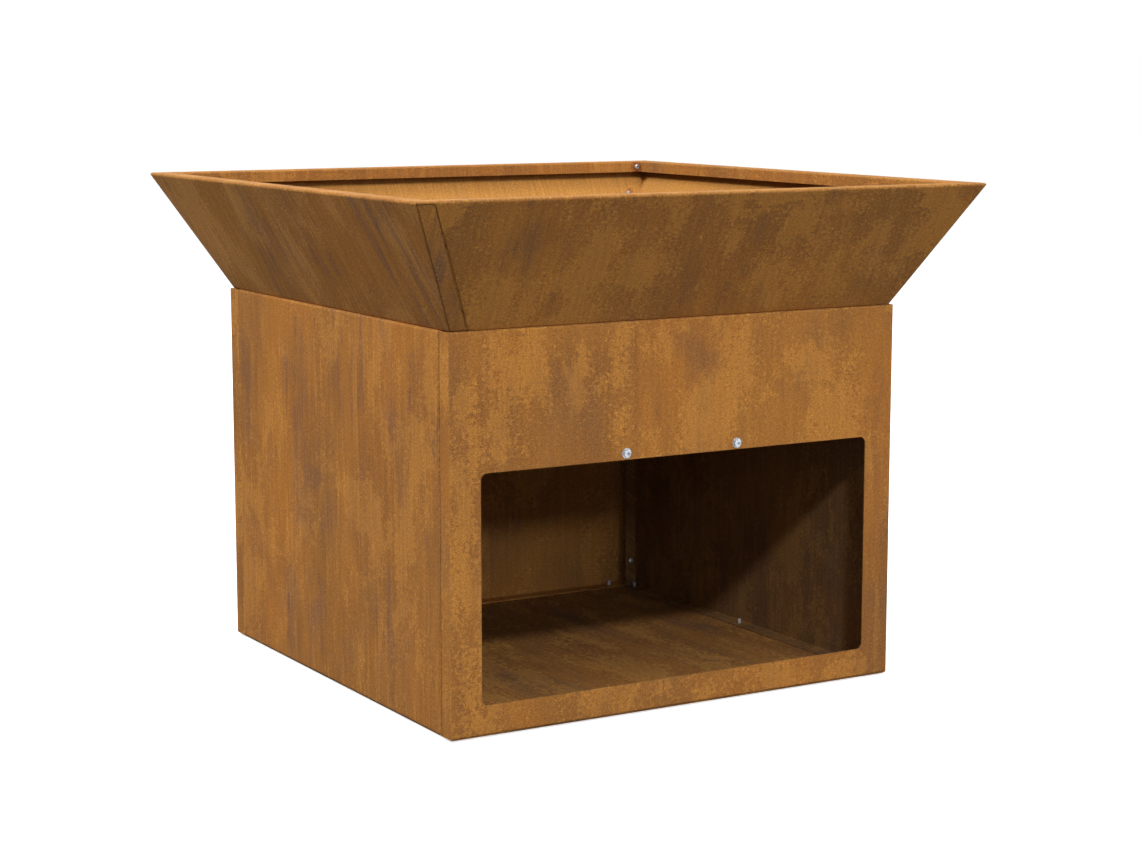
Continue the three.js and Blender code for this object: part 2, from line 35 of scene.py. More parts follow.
class Tree:
    """Short calls for building a node tree."""

    def __init__(self, owner):
        owner.use_nodes = True
        self.tree = owner.node_tree
        self.tree.nodes.clear()

    def feed(self, socket, value):
        """Link a socket to another one, or set its own value."""
        if isinstance(value, bpy.types.NodeSocket):
            self.tree.links.new(value, socket)
        else:
            socket.default_value = value

    def node(self, kind, *values, **settings):
        """A new node whose first inputs are fed in order."""
        made = self.tree.nodes.new(kind)
        for key, value in settings.items():
            setattr(made, key, value)
        for socket, value in zip(made.inputs, values):
            self.feed(socket, value)
        return made

    def math(self, operation, *values, clamp=False):
        return self.node("ShaderNodeMath", *values, operation=operation, use_clamp=clamp).outputs[0]

    def plus(self, a, b):
        return self.math("ADD", a, b)

    def minus(self, a, b):
        return self.math("SUBTRACT", a, b)

    def times(self, a, b):
        return self.math("MULTIPLY", a, b)

    def scaled(self, a, gain, offset):
        return self.math("MULTIPLY_ADD", a, gain, offset)

    def size(self, a):
        return self.math("ABSOLUTE", a)

    def below(self, a, b):
        return self.math("LESS_THAN", a, b)

    def larger(self, a, b):
        return self.math("MAXIMUM", a, b)

    def smaller(self, a, b):
        return self.math("MINIMUM", a, b)

    def vector(self, operation, *values):
        made = self.node("ShaderNodeVectorMath", *values, operation=operation)
        return made.outputs["Value" if operation in ("LENGTH", "DISTANCE") else "Vector"]

    def combine(self, x, y, z):
        return self.node("ShaderNodeCombineXYZ", x, y, z).outputs[0]

    def place(self):
        """Where the shaded point is on the CAD object."""
        return self.node("ShaderNodeTexCoord").outputs["Object"]

    def place_xyz(self):
        return self.node("ShaderNodeSeparateXYZ", self.place()).outputs

    def noise(self, vector, layer, output="Fac"):
        """A layer's noise; its upward axis is drawn out by a factor below 1."""
        if layer.up != 1.0:
            vector = self.vector("MULTIPLY", vector, (1.0, layer.up, 1.0))
        made = self.node("ShaderNodeTexNoise")
        self.feed(made.inputs["Vector"], vector)
        made.inputs["Scale"].default_value = layer.scale
        made.inputs["Detail"].default_value = layer.detail
        made.inputs["Roughness"].default_value = layer.roughness
        made.inputs["Distortion"].default_value = layer.distortion
        return made.outputs[output]

    def step(self, value, low, high, to_low=0.0, to_high=1.0):
        """A smooth step from to_low at low to to_high at high."""
        made = self.node("ShaderNodeMapRange", value, low, high, to_low, to_high,
                         interpolation_type="SMOOTHSTEP")
        return made.outputs[0]

    def shown(self, value, layer, to_low=0.0, to_high=1.0):
        """How much of a layer shows at a value of its noise."""
        return self.step(value, layer.low, layer.high, to_low, to_high)

    def mix(self, factor, a, b, blend="MIX"):
        made = self.node("ShaderNodeMix", data_type="RGBA", blend_type=blend)
        for index, value in ((0, factor), (6, a), (7, b)):
            self.feed(made.inputs[index], value)
        return made.outputs[2]

    def tinted(self, colour, tint):
        return self.mix(1.0, colour, (*tint, 1.0), "MULTIPLY")


def rgb(red, green, blue):
    """A colour written as sRGB out of 255, as the shader's linear values."""
    def linear(value):
        value /= 255.0
        return value / 12.92 if value <= 0.04045 else ((value + 0.055) / 1.055) ** 2.4
    return (linear(red), linear(green), linear(blue), 1.0)


def new_material(name):
    material = bpy.data.materials.new(name)
    tree = Tree(material)
    shader = tree.node("ShaderNodeBsdfPrincipled")
    tree.node("ShaderNodeOutputMaterial", shader.outputs[0])
    return material, tree, shader


def dress(node, material):
    """Give a CAD node its one material."""
    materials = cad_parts[node].data.materials
    materials.clear()
    materials.append(material)


# Places on the part. In a pair of places or of noise values, here and below, a soft edge is
# at nothing at the first and at full at the second.

WALL_HALF = 0.400               # the base's walls, outside
WALL_INNER_HALF = 0.3991        # about the middle of their sheet
WALL_TOP_Z = 0.6048             # just under the upper faces of their flanges
TRAY_FOOT_Z = 0.6053            # the foot of the tray's sloping walls
TRAY_FOOT_HALF = 0.395          # how far out they stand there
TRAY_LEAN = 0.5518              # how far out they lean per height
TRAY_SLANT = 1.14               # their length per height
TRAY_HALF_SHEET = 0.0011        # half their sheet, measured level
RIM_UNDERSIDE_Z = 0.7792        # the sheltered part of the tray's inside ends here
LIP_PAINTED_SHADOW_Z = (0.766, 0.772)    # the painted shadow band under the rim's lip
CREST_HIGHLIGHT_Z = (0.7974, 0.7990)      # a painted highlight along the edge at the very top

# The return strip beside the tray's seams, in the plane of the front and back walls
STRIP_WIDE = 0.0295
STRIP_TOP_Z = 0.7958
STRIP_CORNER = 0.0045
STRIP_EDGE = 0.0004
STRIP_LINE = 0.0019             # the painted shade line round it is at nothing so far from its edge,
STRIP_LINE_FULL = 0.0006        # and at full so far
GROOVE_TOP_Z = 0.7535           # below it the bends' groove makes the line wider,
GROOVE_EXTRA = 0.0016           # by this
STRIP_SHADE_Z = (0.80, 0.64)    # the strip gets painted shade, more towards its foot,
STRIP_SHADE = (0.30, 1.0)       # by these shares
HIP_LINE = (0.0018, 0.0005)     # the painted shade line along the hip itself, and how dark it is
HIP_SHARE = 0.75
FACE_DEPTH = 0.0012             # so far behind a face still counts as on it

TRAY_SCREW_SEATS = [(Vector(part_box(node)[0]) + Vector(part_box(node)[1])) / 2.0
                    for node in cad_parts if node.startswith(("rim_screw", "seam_screw"))]
RING_RADIUS = (0.0130, 0.0095)  # of the rust round them
RING_FRAYED = 0.005             # how far its edge wanders

# Noises. Each has its look, how far it is drawn out up the sheet (the less, the longer), the
# values low and high between which it turns from one end to the other, how ragged the flakes
# make it, and how far the placed ovals, lit and stained, raise or lower it.

Layer = namedtuple("Layer", "scale detail roughness distortion up low high ragged lit stained",
                   defaults=(0.0, 1.0, 0.3, 0.7, 0.0, 0.0, 0.0))
CLOUDS = Layer(6.0, 5.0, 0.58, 0.20, 0.50, 0.34, 0.60, stained=-0.050)
HUE = Layer(3.8, 3.0, 0.50, 0.30, 0.55, 0.38, 0.60)
PATCH = Layer(9.5, 8.0, 0.66, 0.25, 0.65, 0.500, 0.570, ragged=0.24, lit=0.060, stained=-0.055)
SHADE = Layer(10.5, 7.0, 0.64, 0.20, 0.45, 0.52, 0.68, ragged=0.42, lit=-0.060, stained=0.065)
GATHER = Layer(4.3, 3.0, 0.50, 0.00, 0.35, 0.46, 0.62)
STREAK = Layer(40.0, 6.0, 0.66, 0.12, 0.08, 0.47, 0.62, ragged=0.22)
DRIP = Layer(48.0, 6.0, 0.66, 0.10, 0.10, 0.53, 0.63, ragged=0.30)
LINES = Layer(150.0, 3.0, 0.60, 0.00, 0.05)
FLECK = Layer(150.0, 3.0, 0.65)
MOTTLE = Layer(270.0, 3.0, 0.70)
GRAIN = Layer(430.0, 2.0, 0.60)
PORES = Layer(175.0, 4.0, 0.70, low=0.30, high=0.345)
FRAY = Layer(22.0, 7.0, 0.70)
RING_FRAY = Layer(260.0, 3.0, 0.60)
ZINC_WEAR = Layer(900.0, 4.0, 0.60, low=0.35, high=0.65)

NOISE_MIDDLE = 0.5
SHEETS_APART, FLAT_SHEETS_APART, SIDES_APART = 1.9, 3.7, 2.3    # in the noises' space
FLAT_SHORTENED = 0.6            # a flat sheet's noises are drawn out from front to back
OUTWARD_SHARE = 0.7             # how much going outward counts as going up a sloping wall
CALMED = 0.75                   # what the placed ovals leave of a sheet's own noise
FRAY_REACH = (0.110, 0.160)     # how far an oval's edge is pushed about, along and up
OVAL_EDGE = (1.35, 0.45)        # in parts of an oval's radius

GRAIN_IN_CRUMBLE = 0.5
PATCH_RIM = (0.66, 0.56)        # the lighter rim of a light patch
RIM_SHARE = 0.30                # what the rim adds to the patch's own cover, the rest of 1
SHADE_SHARE, DRIP_SHARE = 0.75, 0.75    # beside the light patches and the streaks
DRIP_LEAST = 0.6                # the drips where nothing gathers
PATCH_BREAK = 0.525             # the patches break up round this value,
BREAK_SHARPNESS = 11.0          # and the flakes get fewer this fast away from it,
FLAKES_ELSEWHERE = 0.45         # down to this
PALE_FLAKES, DEEP_FLAKES = (0.05, 0.14), (-0.05, -0.15)
GRAIN_GAIN = (0.85, 1.15)
LINE_GAIN = 0.13                # more and less than 1, on a fully brushed sheet
PORE_SHARE = 0.50
ROUGH_EDGE = (0.40, 0.62)       # from plain rust to the light patches
ROUGHNESS = (0.90, 0.76)
SPECULAR = 0.09
BUMP_STRENGTH, BUMP_HEIGHT = 0.35, 0.0012
FLECK_IN_BUMP = 0.6
ZINC_EDGE, ZINC_ROUGHNESS = (0.3, 0.7), (0.20, 0.40)

# Colours of the rust, of painted shade and of a painted highlight, and factors that tint it

LIGHT = rgb(187, 128, 60)
BRIGHT = rgb(204, 143, 66)
MIDDLE = rgb(166, 110, 52)
DARK = rgb(148, 99, 51)
GOLDEN = rgb(184, 134, 68)
# the dark of the pores, also laid as painted shade under the rim's lip and in the seams' joints
DARK_PIT_AND_SHADE = rgb(66, 42, 24)
# a painted highlight along the rim's top edge
CREST_HIGHLIGHT = rgb(158, 110, 58)
RING_RUST = rgb(128, 70, 40)
GRIME = rgb(121, 87, 60)
LEFT_GRIME = rgb(115, 86, 70)
STREAKED_GRIME = rgb(117, 86, 64)
WARM = (1.02, 0.98, 0.945)
OLIVE = (0.985, 1.0, 1.0)
# painted shade: less saturated and darker, for the inside of the pit
DULL_PAINTED_SHADE = (0.59, 0.73, 1.02)
TRAY_INSIDE = (0.84, 0.90, 0.98)
# painted shade on the seam strip
STRIP_PAINTED_SHADE = (0.78, 0.76, 0.78)


# Masks by place

def sheet_coordinates(tree, seed, flat):
    """Coordinates along the sheet and up it, for the noises, and along it and with the plain
    height, for the placed ovals. Their third axis sets sheets and sides apart."""
    x, y, z = tree.place_xyz()
    if flat:
        moved = tree.plus(x, seed * FLAT_SHEETS_APART)
        spread = tree.combine(moved, tree.times(y, FLAT_SHORTENED), z)
        return spread, spread
    side = tree.math("GREATER_THAN", tree.size(x), tree.size(y))
    on_end = tree.minus(1.0, side)
    along = tree.plus(tree.times(y, side), tree.times(x, on_end))
    facing = tree.plus(tree.times(x, side), tree.times(y, on_end))
    # front and back are -1 and 1, left and right 3 and 5
    which = tree.plus(tree.math("SIGN", facing), tree.times(side, 4.0))
    apart = tree.scaled(which, SIDES_APART, seed * SHEETS_APART)
    up = tree.minus(z, OUTWARD_SHARE * WALL_HALF)
    up = tree.scaled(tree.size(facing), OUTWARD_SHARE, up)
    return tree.combine(along, up, apart), tree.combine(along, z, apart)


def farther_out(tree, x, y):
    """The distance from the middle along x or along y, whichever is larger."""
    return tree.larger(tree.size(x), tree.size(y))


def tray_face(tree, z):
    """How far out the tray's sloping faces stand at a height."""
    return tree.scaled(tree.minus(z, TRAY_FOOT_Z), TRAY_LEAN, TRAY_FOOT_HALF)


def tray_inside(tree):
    """1 on the inner side of the tray, its rim and its lips; and 1 on its sloping walls alone."""
    x, y, z = tree.place_xyz()
    behind = tree.minus(farther_out(tree, x, y), tray_face(tree, z))
    inner = tree.below(behind, -TRAY_HALF_SHEET)
    return inner, tree.times(inner, tree.below(z, RIM_UNDERSIDE_Z))


def base_inside(tree):
    """1 on every face of the walls that looks into the base, 0 outside."""
    x, y, z = tree.place_xyz()
    out = farther_out(tree, x, y)
    return tree.times(tree.below(out, WALL_INNER_HALF), tree.below(z, WALL_TOP_Z))


def seam_strip(tree):
    """The strip beside each of the tray's seams: 1 on the painted shade line round it and along the
    hip; 1 on the strip.
    """
    x, y, z = tree.place_xyz()
    face = tray_face(tree, z)
    from_hip = tree.minus(face, tree.times(x, tree.math("SIGN", y)))

    # the distance from the strip's outline, whose upper corner is rounded
    over = tree.minus(from_hip, STRIP_WIDE - STRIP_CORNER)
    up = tree.times(tree.minus(z, STRIP_TOP_Z - STRIP_CORNER), TRAY_SLANT)
    outward = tree.combine(tree.larger(over, 0.0), tree.larger(up, 0.0), 0.0)
    beyond = tree.minus(tree.vector("LENGTH", outward), STRIP_CORNER)
    edge = tree.plus(beyond, tree.smaller(tree.larger(over, up), 0.0))

    thick = tree.scaled(tree.below(z, GROOVE_TOP_Z), GROOVE_EXTRA, STRIP_LINE)
    line = tree.step(tree.size(edge), thick, STRIP_LINE_FULL)
    hip = tree.step(tree.size(tree.minus(from_hip, FACE_DEPTH)), *HIP_LINE, 0.0, HIP_SHARE)
    on_face = tree.math("GREATER_THAN", tree.size(y), tree.minus(face, FACE_DEPTH))
    on_strip = tree.step(edge, STRIP_EDGE, -STRIP_EDGE)
    return tree.times(tree.larger(line, hip), on_face), tree.times(on_strip, on_face)


def screw_rings(tree, centres):
    """1 close to any of the screws' middles, fading out over a few millimetres."""
    place = tree.place()
    nearest = reduce(tree.smaller, [tree.vector("DISTANCE", place, seat) for seat in centres])
    frayed = tree.scaled(tree.noise(place, RING_FRAY), RING_FRAYED,
                         tree.minus(nearest, RING_FRAYED / 2.0))
    return tree.step(frayed, *RING_RADIUS)


def frayed_plane(tree, upright):
    """The sheet's plane, pushed about by a noise so that the placed ovals fray."""
    along, up = FRAY_REACH
    back = tree.vector("ADD", upright, (-along / 2.0, -up / 2.0, 0.0))
    return tree.vector("MULTIPLY_ADD", tree.noise(upright, FRAY, "Color"), (along, up, 0.0), back)


def marks_field(tree, plane, marks):
    """Soft ovals on a sheet, each (along, up, half width, half height, strength)."""
    ovals = []
    for along, up, wide, tall, strength in marks:
        local = tree.vector("MULTIPLY_ADD", plane, (1.0 / wide, 1.0 / tall, 0.0),
                            (-along / wide, -up / tall, 0.0))
        ovals.append(tree.step(tree.vector("LENGTH", local), *OVAL_EDGE, 0.0, strength))
    return reduce(tree.larger, ovals) if ovals else 0.0


# Materials

class Rust:
    """The rust of one sheet, laid layer over layer on its colour."""

    def __init__(self, name, kind, seed, patches, flakes, streaks, brushed, tint,
                 crumbly=1.0, grime=GRIME, lit=(), stained=()):
        self.material, self.tree, self.shader = new_material(name)
        self.patches, self.flakes, self.streaks, self.brushed = patches, flakes, streaks, brushed
        self.tint, self.grime = tint, grime
        tree = self.tree
        self.sheet, upright = sheet_coordinates(tree, seed, kind == "flat")
        self.outer = 1.0
        if kind == "tray":
            self.inner, self.sheltered = tray_inside(tree)
            self.outer = tree.minus(1.0, self.inner)

        # flakes of a few millimetres and grain of one, which crumble every other edge
        self.fleck = tree.noise(self.sheet, FLECK)
        self.mottle = tree.noise(self.sheet, MOTTLE)
        self.grain = tree.noise(self.sheet, GRAIN)
        self.crumble = tree.scaled(tree.minus(self.grain, NOISE_MIDDLE), GRAIN_IN_CRUMBLE,
                                   tree.minus(self.fleck, NOISE_MIDDLE))
        self.ragged = tree.times(self.crumble, crumbly)

        plane = frayed_plane(tree, upright)
        self.lit = marks_field(tree, plane, lit)
        self.stained = marks_field(tree, plane, stained)
        self.free = CALMED if lit else 1.0

        self.tone()
        self.light_patches()
        self.dark_patches()
        self.run_off()
        self.loose_flakes()
        if kind == "tray":
            self.tray_sides()
        elif kind == "base":
            # painted shade on the walls' insides
            self.tint_by(tint, base_inside(tree))
        else:
            # painted shade on the flat sheets, all inside the pit
            self.tint_by(tint)
        self.fine_grain()
        if kind == "tray":
            # painted shade in the joints round the seam strips and along the hips
            self.lay(DARK_PIT_AND_SHADE, self.seam_line, share=0.75)
        self.pores()
        self.surface()

    def lay(self, colour, mask, share=1.0):
        """Lay a share of a colour over what is there, where the mask is 1."""
        if share != 1.0:
            mask = self.tree.times(mask, share)
        self.colour = self.tree.mix(mask, self.colour, colour)

    def tint_by(self, tint, mask=1.0, share=1.0):
        self.lay(self.tree.tinted(self.colour, tint), mask, share)

    def field(self, layer):
        """A layer's noise, calmed and then raised or lowered by the placed ovals."""
        tree = self.tree
        noise = tree.minus(tree.noise(self.sheet, layer), NOISE_MIDDLE)
        field = tree.scaled(noise, self.free, NOISE_MIDDLE)
        field = tree.scaled(self.lit, layer.lit, field)
        return tree.scaled(self.stained, layer.stained, field)

    def broken(self, field, layer):
        """A field whose edges crumble."""
        return self.tree.scaled(self.ragged, layer.ragged, field)

    def tone(self):
        """Broad soft clouds of tone and hue."""
        tree = self.tree
        clouds = tree.noise(self.sheet, CLOUDS)
        clouds = tree.scaled(self.stained, CLOUDS.stained, clouds)
        tone = tree.mix(tree.shown(clouds, CLOUDS), DARK, MIDDLE)
        hue = tree.shown(tree.noise(self.sheet, HUE), HUE)
        self.colour = tree.mix(hue, tree.tinted(tone, WARM), tree.tinted(tone, OLIVE))

    def light_patches(self):
        """Light patches with crisp, crumbling edges and a lighter rim."""
        tree = self.tree
        self.patch_field = self.field(PATCH)
        self.patch_edge = self.broken(self.patch_field, PATCH)
        patch = tree.shown(self.patch_edge, PATCH)
        rim = tree.times(patch, tree.step(self.patch_edge, *PATCH_RIM))
        cover = tree.scaled(rim, RIM_SHARE, tree.times(patch, 1.0 - RIM_SHARE))
        self.lay(LIGHT, cover, self.patches)

    def dark_patches(self):
        """Darker purplish patches between them."""
        shade = self.tree.shown(self.broken(self.field(SHADE), SHADE), SHADE)
        self.lay(self.grime, shade, share=self.patches * SHADE_SHARE)

    def run_off(self):
        """Run-off streaks, narrow and long, gathered in some places, and paler drips."""
        tree = self.tree
        gather = tree.shown(tree.noise(self.sheet, GATHER), GATHER)
        gather = tree.larger(tree.times(gather, self.free), self.stained)
        gather = tree.times(gather, self.outer)
        streak = tree.shown(self.broken(tree.noise(self.sheet, STREAK), STREAK), STREAK)
        self.lay(self.grime, tree.times(streak, gather), self.streaks)
        drip = tree.shown(self.broken(tree.noise(self.sheet, DRIP), DRIP), DRIP)
        gather = tree.larger(tree.larger(gather, self.lit), DRIP_LEAST)
        self.lay(LIGHT, tree.times(drip, gather), share=self.streaks * DRIP_SHARE)

    def loose_flakes(self):
        """Loose flakes, pale and deep, most of them where the patches break up."""
        tree = self.tree
        away = tree.size(tree.minus(self.patch_field, PATCH_BREAK))
        band = tree.math("SUBTRACT", 1.0, tree.times(away, BREAK_SHARPNESS), clamp=True)
        spread = tree.scaled(band, 1.0 - FLAKES_ELSEWHERE, FLAKES_ELSEWHERE)
        for edge, colour in ((PALE_FLAKES, BRIGHT), (DEEP_FLAKES, self.grime)):
            flake = tree.times(tree.step(self.crumble, *edge), spread)
            self.lay(colour, flake, self.flakes)

    def tray_sides(self):
        """The tray's golden inside with its screws' rings and a painted shadow under its lip; its
        outside's tint; a painted highlight on its crest; its seam strip, given painted shade
        towards its foot.
        """
        tree = self.tree
        height = tree.place_xyz()[2]
        self.seam_line, strip = seam_strip(tree)
        self.tint_by(TRAY_INSIDE, self.inner, share=0.9)
        self.lay(GOLDEN, self.sheltered, share=0.65)
        # painted shadow: a dark band on the sheltered walls just under the rim's lip
        painted_lip_shadow = tree.times(tree.step(height, *LIP_PAINTED_SHADOW_Z), self.sheltered)
        self.lay(DARK_PIT_AND_SHADE, painted_lip_shadow, share=0.6)
        ringed = tree.times(screw_rings(tree, TRAY_SCREW_SEATS), self.inner)
        self.lay(RING_RUST, ringed, share=0.75)
        # painted shade on the tray half's down-facing outside
        self.tint_by(self.tint, self.outer)
        # a painted highlight along the crest
        self.lay(CREST_HIGHLIGHT, tree.step(height, *CREST_HIGHLIGHT_Z), share=0.5)
        # painted shade on the strip, more towards its foot
        strip = tree.times(strip, self.outer)
        strip = tree.times(strip, tree.step(height, *STRIP_SHADE_Z, *STRIP_SHADE))
        self.tint_by(STRIP_PAINTED_SHADE, strip)

    def fine_grain(self):
        """Fine upright lines and the grain itself, as gains on the colour."""
        tree, depth = self.tree, LINE_GAIN * self.brushed
        lines = tree.shown(tree.noise(self.sheet, LINES), LINES, 1.0 - depth, 1.0 + depth)
        mottle = tree.shown(self.mottle, MOTTLE, *GRAIN_GAIN)
        grain = tree.shown(self.grain, GRAIN, *GRAIN_GAIN)
        gain = tree.times(lines, tree.times(mottle, grain))
        self.colour = tree.mix(1.0, self.colour, tree.combine(gain, gain, gain), "MULTIPLY")

    def pores(self):
        """A few dark pores, where their noise is lowest."""
        noise = self.tree.noise(self.sheet, PORES)
        self.lay(DARK_PIT_AND_SHADE, self.tree.shown(noise, PORES, PORE_SHARE, 0.0))

    def surface(self):
        """Feed the shader: the colour, a roughness by patch, little gloss and a fine bump."""
        tree, inputs = self.tree, self.shader.inputs
        tree.feed(inputs["Base Color"], self.colour)
        tree.feed(inputs["Roughness"], tree.step(self.patch_edge, *ROUGH_EDGE, *ROUGHNESS))
        inputs["Specular IOR Level"].default_value = SPECULAR
        bump = tree.node("ShaderNodeBump")
        bump.inputs["Strength"].default_value = BUMP_STRENGTH
        bump.inputs["Distance"].default_value = BUMP_HEIGHT
        height = tree.times(self.fleck, FLECK_IN_BUMP)
        height = tree.scaled(self.grain, 1.0 - FLECK_IN_BUMP, height)
        tree.feed(bump.inputs["Height"], height)
        tree.feed(inputs["Normal"], bump.outputs[0])


def zinc_material(name, low, high, metallic):
    """Zinc, worn between a low and a high grey."""
    material, tree, shader = new_material(name)
    wear = tree.noise(tree.place(), ZINC_WEAR)
    tree.feed(shader.inputs["Base Color"], tree.mix(tree.shown(wear, ZINC_WEAR), low, high))
    tree.feed(shader.inputs["Roughness"], tree.step(wear, *ZINC_EDGE, *ZINC_ROUGHNESS))
    shader.inputs["Metallic"].default_value = metallic
    return material


# The larger light patches and stains, each (along, up, half width, half height, strength)

FRONT_LIT = (
    (-0.3, 0.535, 0.055, 0.045, 1.0), (-0.138, 0.55, 0.06, 0.04, 0.9),
    (0.107, 0.555, 0.02, 0.05, 1.0), (0.107, 0.475, 0.08, 0.03, 1.0),
    (0.215, 0.525, 0.08, 0.022, 1.0), (0.26, 0.46, 0.02, 0.03, 0.8),
    (0.07, 0.43, 0.055, 0.02, 0.8), (-0.37, 0.5, 0.02, 0.05, 0.7), (-0.3, 0.42, 0.05, 0.02, 0.6),
    (0.33, 0.55, 0.03, 0.03, 0.6), (0.05, 0.025, 0.12, 0.02, 0.5),
)
FRONT_STAINED = (
    (-0.211, 0.555, 0.025, 0.06, 1.0), (-0.154, 0.5, 0.02, 0.09, 1.0),
    (-0.054, 0.5, 0.022, 0.06, 0.7), (0.03, 0.54, 0.035, 0.05, 1.0),
    (0.227, 0.542, 0.018, 0.035, 0.5), (0.207, 0.485, 0.03, 0.025, 0.6),
    (0.377, 0.47, 0.018, 0.07, 0.9), (-0.25, 0.45, 0.012, 0.09, 0.5),
    (0.31, 0.585, 0.03, 0.02, 0.6), (0.385, 0.36, 0.012, 0.04, 0.7),
    (0.377, 0.24, 0.045, 0.24, 1.2),
)
LEFT_LIT = (
    (-0.255, 0.54, 0.018, 0.035, 1.0), (-0.3, 0.41, 0.055, 0.055, 1.0),
    (-0.335, 0.52, 0.02, 0.045, 0.8), (-0.173, 0.555, 0.02, 0.035, 0.8),
    (0.0, 0.45, 0.01, 0.045, 1.0), (-0.045, 0.34, 0.05, 0.045, 0.7),
    (0.262, 0.355, 0.014, 0.035, 1.0), (0.134, 0.32, 0.025, 0.035, 0.9),
    (0.24, 0.205, 0.009, 0.045, 1.0), (0.31, 0.25, 0.045, 0.03, 0.8),
    (-0.17, 0.22, 0.03, 0.05, 0.8), (0.108, 0.16, 0.007, 0.035, 0.9),
    (-0.046, 0.155, 0.015, 0.03, 0.7), (-0.325, 0.09, 0.045, 0.08, 0.8),
    (0.37, 0.1, 0.015, 0.05, 0.7), (0.3, 0.5, 0.012, 0.05, 0.5),
)
LEFT_STAINED = (
    (0.123, 0.545, 0.015, 0.06, 0.9), (0.05, 0.48, 0.02, 0.1, 1.0),
    (0.17, 0.47, 0.025, 0.035, 0.9), (0.073, 0.335, 0.06, 0.017, 0.9),
    (0.155, 0.11, 0.03, 0.11, 1.0), (0.058, 0.09, 0.025, 0.07, 0.8),
    (-0.288, 0.525, 0.012, 0.055, 1.2), (-0.36, 0.45, 0.01, 0.045, 1.2),
    (-0.377, 0.37, 0.008, 0.04, 1.1), (-0.345, 0.28, 0.017, 0.03, 1.0),
    (-0.096, 0.508, 0.03, 0.045, 0.8), (0.338, 0.445, 0.02, 0.1, 0.7),
    (0.235, 0.345, 0.02, 0.035, 0.9), (-0.215, 0.445, 0.015, 0.035, 0.8),
    (-0.205, 0.155, 0.012, 0.08, 0.6), (0.038, 0.25, 0.008, 0.025, 0.9),
    (-0.1, 0.36, 0.02, 0.015, 0.6), (0.115, 0.3, 0.036, 0.3, 0.8),
)
FRONT_FLARE_LIT = (
    (-0.175, 0.755, 0.06, 0.03, 0.7), (-0.39, 0.73, 0.03, 0.02, 0.5),
    (-0.095, 0.69, 0.035, 0.03, 0.8), (0.145, 0.75, 0.015, 0.03, 1.0),
    (0.2, 0.68, 0.04, 0.04, 0.8), (-0.335, 0.65, 0.03, 0.03, 0.8), (0.28, 0.71, 0.02, 0.04, 0.7),
)
FRONT_FLARE_STAINED = (
    (-0.3, 0.738, 0.04, 0.045, 1.9), (-0.154, 0.69, 0.015, 0.02, 0.9),
    (-0.25, 0.65, 0.02, 0.02, 0.9), (-0.01, 0.665, 0.025, 0.03, 0.9),
    (0.077, 0.66, 0.008, 0.035, 1.0), (0.1, 0.74, 0.015, 0.03, 0.8),
    (0.36, 0.72, 0.015, 0.06, 0.8), (-0.03, 0.76, 0.015, 0.03, 0.6),
)
LEFT_FLARE_LIT = (
    (0.42, 0.74, 0.09, 0.09, 1.3), (0.33, 0.7, 0.05, 0.08, 1.0), (0.215, 0.705, 0.02, 0.025, 0.9),
    (0.04, 0.735, 0.03, 0.035, 0.9), (-0.385, 0.745, 0.03, 0.03, 0.9),
    (-0.34, 0.655, 0.015, 0.03, 0.9), (-0.03, 0.73, 0.005, 0.05, 1.0),
    (0.17, 0.76, 0.05, 0.02, 0.6),
)
LEFT_FLARE_STAINED = (
    (-0.054, 0.685, 0.022, 0.06, 1.1), (0.09, 0.75, 0.012, 0.025, 0.9),
    (-0.1, 0.69, 0.015, 0.03, 0.9), (-0.238, 0.7, 0.01, 0.045, 1.0),
    (-0.342, 0.76, 0.014, 0.02, 1.0), (0.16, 0.67, 0.035, 0.03, 0.7),
)

# Each sheet's rust. The tint is that of a whole flat sheet, of a base wall's inside and of a tray
# half's outside. On the flat sheets and the walls' insides, all inside the pit, it is painted
# shade, less saturated and mostly darker; on a tray half it is painted shade on the down-facing
# outside.

LOOKS = {
    "front_panel": dict(
        kind="base", seed=1.0, patches=0.72, flakes=0.34, streaks=0.32, brushed=0.4,
        tint=DULL_PAINTED_SHADE, lit=FRONT_LIT, stained=FRONT_STAINED),
    "back_panel": dict(
        kind="base", seed=2.0, patches=0.60, flakes=0.34, streaks=0.45, brushed=0.6,
        tint=(1.06, 1.22, 1.50)),
    "left_panel": dict(
        kind="base", seed=3.0, patches=0.50, flakes=0.28, streaks=0.72, brushed=0.75,
        crumbly=0.65, tint=DULL_PAINTED_SHADE, grime=LEFT_GRIME, lit=LEFT_LIT, stained=LEFT_STAINED),
    "right_panel": dict(
        kind="base", seed=4.0, patches=0.66, flakes=0.32, streaks=0.70, brushed=0.8,
        crumbly=0.7, tint=(0.55, 0.66, 1.02), grime=STREAKED_GRIME),
    "floor_plate": dict(
        kind="flat", seed=5.0, patches=0.90, flakes=0.50, streaks=0.30, brushed=0.7,
        tint=(0.70, 0.76, 0.93)),
    "heat_shield": dict(
        kind="flat", seed=6.0, patches=0.35, flakes=0.30, streaks=0.20, brushed=0.5,
        tint=DULL_PAINTED_SHADE),
    "fire_plate": dict(
        kind="flat", seed=7.0, patches=0.45, flakes=0.40, streaks=0.20, brushed=0.3,
        tint=(0.74, 0.75, 0.82)),
    "tray_left_back": dict(
        kind="tray", seed=8.0, patches=0.50, flakes=0.36, streaks=0.85, brushed=0.85,
        crumbly=0.6, tint=(0.93, 0.99, 1.10), grime=STREAKED_GRIME,
        lit=LEFT_FLARE_LIT, stained=LEFT_FLARE_STAINED),
    "tray_front_right": dict(
        kind="tray", seed=9.0, patches=0.66, flakes=0.45, streaks=0.38, brushed=0.5,
        crumbly=0.9, tint=(0.835, 0.855, 0.90),
        lit=FRONT_FLARE_LIT, stained=FRONT_FLARE_STAINED),
}
